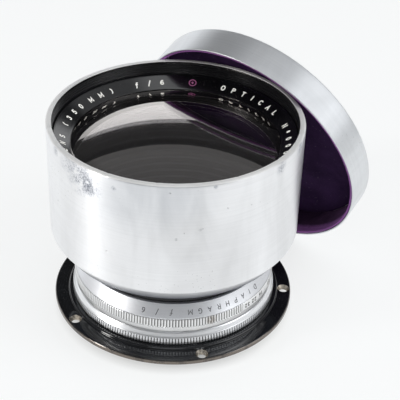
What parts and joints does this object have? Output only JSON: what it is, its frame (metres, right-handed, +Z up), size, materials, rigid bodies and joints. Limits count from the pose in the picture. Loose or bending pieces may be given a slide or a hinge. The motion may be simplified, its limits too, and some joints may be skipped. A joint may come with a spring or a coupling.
{
  "type": "enlarger lens",
  "caption": "Large barrel lens with deep hood, iris ring, coupled blades, black mounting flange and a velvet-lined push-on cap leaning on the hood.",
  "frame": {"origin": "on the table, at the bottom centre of the box round the lens and its leaning cap; the optical axis stands at x = -14.1 mm, y = -15.9 mm and the flange's back face at z = 4.05 mm", "axes": "+Z up along the optical axis towards the front glass; +X and +Y level, the cap leans on the hood from the +X +Y side"},
  "size_m": [0.1168, 0.1205, 0.0936],
  "materials": {
    "satin_aluminium": "lathe-turned satin, lightly worn, a few nicks",
    "bright_ring_aluminium": "bright turned, knurled",
    "barrel_aluminium": "bright turned, engraved shoulder",
    "flange_black": "glossy black, worn to bare metal along the edge",
    "cell_black": "matt black",
    "name_ring_black": "semi-gloss black with light filled engraving",
    "front_glass": "polished, looks dark against the black interior",
    "rear_glass": "polished",
    "iris_blade_steel": "blackened spring steel",
    "iris_brass_black": "blackened brass",
    "screw_steel": "turned steel",
    "cap_aluminium": "brushed, soft streaks",
    "purple_velvet": "short-pile velvet"
  },
  "bodies": {
    "lens_body": {"main_barrel": "barrel_aluminium", "mounting_flange": "flange_black", "lock_ring": "bright_ring_aluminium", "iris_seat_plate": "iris_brass_black", "iris_retainer": "cell_black", "front_cell": "cell_black", "hood": "satin_aluminium", "name_ring": "name_ring_black", "front_crown_element": "front_glass", "front_flint_element": "front_glass", "rear_cell": "cell_black", "rear_flint_element": "rear_glass", "rear_crown_element": "rear_glass", "rear_retaining_ring": "cell_black"},
    "aperture_ring": {"aperture_ring": "bright_ring_aluminium", "aperture_drive_screw": "screw_steel", "iris_cam_ring": "iris_brass_black"},
    "iris_blade_01": {"iris_blade_01": "iris_blade_steel"},
    "iris_blade_02": {"iris_blade_02": "iris_blade_steel"},
    "iris_blade_03": {"iris_blade_03": "iris_blade_steel"},
    "iris_blade_04": {"iris_blade_04": "iris_blade_steel"},
    "iris_blade_05": {"iris_blade_05": "iris_blade_steel"},
    "iris_blade_06": {"iris_blade_06": "iris_blade_steel"},
    "iris_blade_07": {"iris_blade_07": "iris_blade_steel"},
    "iris_blade_08": {"iris_blade_08": "iris_blade_steel"},
    "iris_blade_09": {"iris_blade_09": "iris_blade_steel"},
    "iris_blade_10": {"iris_blade_10": "iris_blade_steel"},
    "iris_blade_11": {"iris_blade_11": "iris_blade_steel"},
    "iris_blade_12": {"iris_blade_12": "iris_blade_steel"},
    "cap": {"cap_shell": "cap_aluminium", "cap_wall_velvet": "purple_velvet", "cap_disc_velvet": "purple_velvet"}
  },
  "joints": [
    {"name": "aperture_ring_turn", "type": "hinge", "parent": "lens_body", "child": "aperture_ring", "pos_m": [-0.0141, -0.01591, 0.01505], "axis": [0, 0, 1], "range_deg": [0, 56]},
    {"name": "iris_blade_01_turn", "type": "hinge", "parent": "lens_body", "child": "iris_blade_01", "pos_m": [0.0168, -0.01591, 0.01115], "axis": [0, 0, 1], "range_deg": [0, 36]},
    {"name": "iris_blade_02_turn", "type": "hinge", "parent": "lens_body", "child": "iris_blade_02", "pos_m": [0.01266, -0.00046, 0.01145], "axis": [0, 0, 1], "range_deg": [0, 36]},
    {"name": "iris_blade_03_turn", "type": "hinge", "parent": "lens_body", "child": "iris_blade_03", "pos_m": [0.00135, 0.01085, 0.01175], "axis": [0, 0, 1], "range_deg": [0, 36]},
    {"name": "iris_blade_04_turn", "type": "hinge", "parent": "lens_body", "child": "iris_blade_04", "pos_m": [-0.0141, 0.01499, 0.01205], "axis": [0, 0, 1], "range_deg": [0, 36]},
    {"name": "iris_blade_05_turn", "type": "hinge", "parent": "lens_body", "child": "iris_blade_05", "pos_m": [-0.02955, 0.01085, 0.01235], "axis": [0, 0, 1], "range_deg": [0, 36]},
    {"name": "iris_blade_06_turn", "type": "hinge", "parent": "lens_body", "child": "iris_blade_06", "pos_m": [-0.04086, -0.00046, 0.01265], "axis": [0, 0, 1], "range_deg": [0, 36]},
    {"name": "iris_blade_07_turn", "type": "hinge", "parent": "lens_body", "child": "iris_blade_07", "pos_m": [-0.045, -0.01591, 0.01295], "axis": [0, 0, 1], "range_deg": [0, 36]},
    {"name": "iris_blade_08_turn", "type": "hinge", "parent": "lens_body", "child": "iris_blade_08", "pos_m": [-0.04086, -0.03136, 0.01325], "axis": [0, 0, 1], "range_deg": [0, 36]},
    {"name": "iris_blade_09_turn", "type": "hinge", "parent": "lens_body", "child": "iris_blade_09", "pos_m": [-0.02955, -0.04267, 0.01355], "axis": [0, 0, 1], "range_deg": [0, 36]},
    {"name": "iris_blade_10_turn", "type": "hinge", "parent": "lens_body", "child": "iris_blade_10", "pos_m": [-0.0141, -0.04681, 0.01385], "axis": [0, 0, 1], "range_deg": [0, 36]},
    {"name": "iris_blade_11_turn", "type": "hinge", "parent": "lens_body", "child": "iris_blade_11", "pos_m": [0.00135, -0.04267, 0.01415], "axis": [0, 0, 1], "range_deg": [0, 36]},
    {"name": "iris_blade_12_turn", "type": "hinge", "parent": "lens_body", "child": "iris_blade_12", "pos_m": [0.01266, -0.03136, 0.01445], "axis": [0, 0, 1], "range_deg": [0, 36]},
    {"name": "cap_lift", "type": "slide", "parent": "lens_body", "child": "cap", "axis": [0.5414, 0.7715, 0.3343], "range_m": [0, 0.06]}
  ],
  "couplings": [
    {"joint": "iris_blade_01_turn", "follows": "aperture_ring_turn", "ratio": 0.64},
    {"joint": "iris_blade_02_turn", "follows": "aperture_ring_turn", "ratio": 0.64},
    {"joint": "iris_blade_03_turn", "follows": "aperture_ring_turn", "ratio": 0.64},
    {"joint": "iris_blade_04_turn", "follows": "aperture_ring_turn", "ratio": 0.64},
    {"joint": "iris_blade_05_turn", "follows": "aperture_ring_turn", "ratio": 0.64},
    {"joint": "iris_blade_06_turn", "follows": "aperture_ring_turn", "ratio": 0.64},
    {"joint": "iris_blade_07_turn", "follows": "aperture_ring_turn", "ratio": 0.64},
    {"joint": "iris_blade_08_turn", "follows": "aperture_ring_turn", "ratio": 0.64},
    {"joint": "iris_blade_09_turn", "follows": "aperture_ring_turn", "ratio": 0.64},
    {"joint": "iris_blade_10_turn", "follows": "aperture_ring_turn", "ratio": 0.64},
    {"joint": "iris_blade_11_turn", "follows": "aperture_ring_turn", "ratio": 0.64},
    {"joint": "iris_blade_12_turn", "follows": "aperture_ring_turn", "ratio": 0.64}
  ]
}
